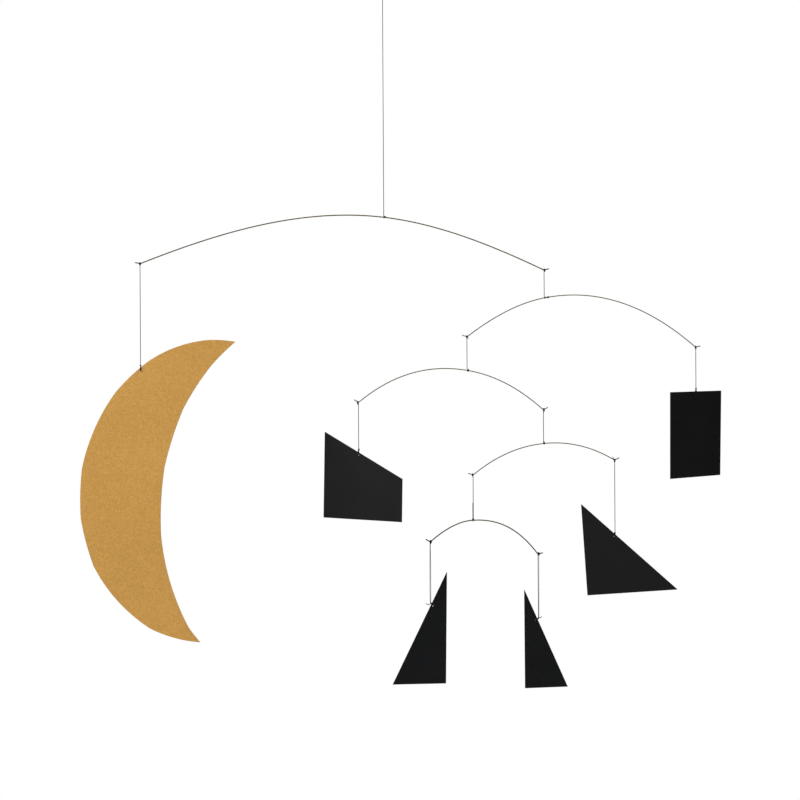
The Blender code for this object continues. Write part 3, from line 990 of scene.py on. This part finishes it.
def worked(blank, cutter):
    """The mesh of a blank after a cutter is taken out of it and its arrises are rounded."""
    difference = blank.modifiers.new("hole", "BOOLEAN")
    difference.operation = "DIFFERENCE"
    difference.solver = "EXACT"
    difference.object = cutter
    rounding = blank.modifiers.new("arris", "BEVEL")
    rounding.limit_method = "ANGLE"
    rounding.angle_limit = SHARP_ANGLE
    rounding.width = ARRIS
    rounding.segments = ARRIS_STEPS
    depsgraph = bpy.context.evaluated_depsgraph_get()
    mesh = bpy.data.meshes.new_from_object(blank.evaluated_get(depsgraph))
    bpy.data.objects.remove(blank, do_unlink=True)
    bpy.data.objects.remove(cutter, do_unlink=True)
    return mesh


def finish_card(name, shape, hole, turn, material):
    """The card of a blank, with its rim marked, its hole cut and its arrises rounded."""
    mark_rim(shape)
    mesh = worked(helper("blank", shape), helper("cutter", hole_cutter(hole, turn)))
    card = new_object(f"painted_{name}", mesh, material, smooth=False)
    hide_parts(f"{name}_card")
    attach(card, name)


def sweep_cut(shape, start, end, bulge):
    """Adds the line of a cut to a bmesh, as a corner that is swept along the arc to the next one."""
    chord = end - start
    out = AWAY.cross(chord).normalized()
    radius = (chord.length_squared / 4 + bulge**2) / (2 * bulge)
    centre = (start + end) / 2 + (bulge - radius) * out
    swept = 4 * math.atan(2 * bulge / chord.length)
    corner = bmesh.ops.create_vert(shape, co=start)["vert"]
    bmesh.ops.spin(shape, geom=corner, cent=centre, axis=AWAY, angle=-swept, steps=CUT_STEPS)


def crescent_blank(hole):
    """The crescent without its hole: its cuts from corner to corner, filled and given its thickness."""
    shape = bmesh.new()
    for cut, next_cut in zip(CRESCENT_CUTS, (*CRESCENT_CUTS[1:], CRESCENT_CUTS[0])):
        start = hole + Vector((cut.across, -CARD_THICKNESS / 2, cut.up))
        end = hole + Vector((next_cut.across, -CARD_THICKNESS / 2, next_cut.up))
        sweep_cut(shape, start, end, cut.bulge)
    bmesh.ops.remove_doubles(shape, verts=shape.verts, dist=WELD_DISTANCE)
    front = bmesh.ops.contextual_create(shape, geom=shape.edges)["faces"]
    back = bmesh.ops.extrude_face_region(shape, geom=front, use_keep_orig=True)["geom"]
    back_corners = [part for part in back if isinstance(part, bmesh.types.BMVert)]
    bmesh.ops.translate(shape, vec=CARD_THICKNESS * AWAY, verts=back_corners)
    bmesh.ops.recalc_face_normals(shape, faces=shape.faces)
    return shape


def add_camera():
    data = bpy.data.cameras.new("camera")
    data.lens = CAMERA_LENS
    data.sensor_width = CAMERA_SENSOR
    data.shift_y = (HORIZON_ROW - PICTURE_SIDE / 2) / PICTURE_SIDE
    data.clip_start = CAMERA_NEAR
    data.clip_end = CAMERA_FAR
    camera = bpy.data.objects.new("camera", data)
    level = Matrix.Rotation(math.radians(90), 4, "X") @ Matrix.Rotation(CAMERA_ROLL, 4, "Z")
    camera.matrix_world = Matrix.Translation(CAMERA_PLACE) @ level
    bpy.context.scene.collection.objects.link(camera)
    bpy.context.scene.camera = camera


def add_run(name, held, knot, strand_turns):
    """The run of a thread, from what it is tied to above, through its lower knot, to what it holds."""
    carrier = CARRIERS.get(name)
    if carrier:
        top = seat(name) - carrier.wire_diameter / 2 * UP
        node = f"{name}_thread"
    else:
        top = seat(name) - LOOP_LENGTH * UP
        node = "top_thread"
    path = [top, knot, knot.lerp(held, 0.5)]
    line = resampled(path, THREAD_STEP)
    if strand_turns:
        lines = paired(line, *strand_turns)
        strand = STRAND_DIAMETER
    else:
        lines = [line]
        strand = THREAD_DIAMETER
    run = thread_piece(f"{name}_cord", lines, strand, "waxed_thread")
    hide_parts(node)
    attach(run, name)
    if line_length(path) < SHORTEST_CORD:
        return
    if not carrier:
        path.reverse()
    line_length(path)


def hang(name, upper_tie, lower_tie, held, knot, strand_turns=()):
    """One thread: its upper tie rides with what carries it, and all below turns with its load."""
    carrier = CARRIERS.get(name)
    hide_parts(f"{name}_thread_tie" if carrier else "hanging_loop")
    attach(upper_tie, carrier.name if carrier else "hanger")
    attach(lower_tie, name)
    add_run(name, held, knot, strand_turns)


def upper_tie_of(name):
    carrier = CARRIERS.get(name)
    return notch_tie(name, carrier.wire_diameter) if carrier else hook_loop()


def hang_arm(arm):
    held = arm_held(arm)
    knot = held + wire_tie_span(arm.wire_diameter) * direction(-arm.tilt)
    hang(arm.name, upper_tie_of(arm.name), arm_tie(arm), held, knot)


def hang_card(name, hole, turn):
    tie = CARD_TIES[name]
    height = tie.edge + tie.gap + KNOT_DIAMETER / 2
    knot = hole + height * (Matrix.Rotation(turn, 3, "Z") @ direction(tie.lean))
    lower_tie = card_tie(name, hole, turn, tie, LOAD_TAILS[name])
    hang(name, upper_tie_of(name), lower_tie, hole, knot, tie.strand_turns)


def add_area_light(area):
    data = bpy.data.lights.new(area.name, "AREA")
    data.shape = "RECTANGLE"
    data.size, data.size_y = area.size
    data.energy = area.power
    data.color = area.colour
    light = bpy.data.objects.new(area.name, data)
    place = Vector(area.place)
    facing = (LIT_MIDDLE - place).to_track_quat("-Z", "Y").to_matrix().to_4x4()
    light.matrix_world = Matrix.Translation(place) @ facing
    light.visible_camera = False
    bpy.context.scene.collection.objects.link(light)


def add_studio():
    """A white room: what the camera sees of it is plain white, and it lights the object softly."""
    world = bpy.data.worlds.new("studio")
    bpy.context.scene.world = world
    finish = Finish(world)
    seen = finish.node("ShaderNodeLightPath", output="Is Camera Ray")
    fill = finish.node("ShaderNodeBackground", sockets={"Color": (*WHITE, 1.0), "Strength": FILL_LIGHT})
    white = finish.node("ShaderNodeBackground", sockets={"Color": (*WHITE, 1.0), "Strength": 1.0})
    mixed = finish.node("ShaderNodeMixShader", sockets={0: seen, 1: fill, 2: white})
    finish.node("ShaderNodeOutputWorld", sockets={"Surface": mixed})

    material = bpy.data.materials.new("pale_floor")
    finish = Finish(material)
    seen = finish.node("ShaderNodeLightPath", output="Is Camera Ray")
    pale = finish.node("ShaderNodeBsdfDiffuse", sockets={"Color": (*PALE, 1.0)})
    bright = finish.node("ShaderNodeEmission", sockets={"Color": (*WHITE, 1.0), "Strength": 1.0})
    mixed = finish.node("ShaderNodeMixShader", sockets={0: seen, 1: pale, 2: bright})
    finish.node("ShaderNodeOutputMaterial", sockets={"Surface": mixed})
    shape = bmesh.new()
    bmesh.ops.create_grid(
        shape, x_segments=1, y_segments=1, size=FLOOR_SIDE / 2, matrix=Matrix.Translation(FLOOR_HEIGHT * UP)
    )
    new_piece("floor", shape, material, smooth=False)

    for area in AREA_LIGHTS:
        add_area_light(area)


bpy.context.scene.view_settings.view_transform = "Standard"
add_camera()

SWIVELS = {joint["child"]: Vector(joint["pos_m"]) for joint in frame["joints"]}
CARRIERS = {side.carries: arm for arm in ARMS for side in (arm.left, arm.right)}
FINISHES = {
    "waxed_thread": thread_finish("waxed_thread", FIBRE_LIGHT, FIBRE_DARK),
    # The knots' finish: the thread's, darker, partly for wax and partly as painted shade between the turns
    "waxed_knot": thread_finish("waxed_knot", KNOT_WAX_AND_SHADE_LIGHT, KNOT_WAX_AND_SHADE_DARK),
    "drawn_steel": drawn_steel(),
    "gold_paint": gold_paint(),
    "black_paint": black_paint(),
}

crescent_hole = seat("crescent") - CRESCENT_THREAD_LENGTH * UP
blanks = {}
for card_name in BLACK_CARDS:
    blank_shape, hole_middle = card_blank(card_name)
    front = front_direction(blank_shape)
    blanks[card_name] = (blank_shape, hole_middle, math.atan2(front.x, -front.y))

for arm in ARMS:
    hang_arm(arm)
hang_card("crescent", crescent_hole, 0.0)
for card_name, (_, hole_middle, turn_angle) in blanks.items():
    hang_card(card_name, hole_middle, turn_angle)

for arm in ARMS:
    add_arm(arm)
crescent_shape = crescent_blank(crescent_hole)
finish_card("crescent", crescent_shape, crescent_hole, 0.0, FINISHES["gold_paint"])
for card_name, (blank_shape, hole_middle, turn_angle) in blanks.items():
    finish_card(card_name, blank_shape, hole_middle, turn_angle, FINISHES["black_paint"])
add_studio()
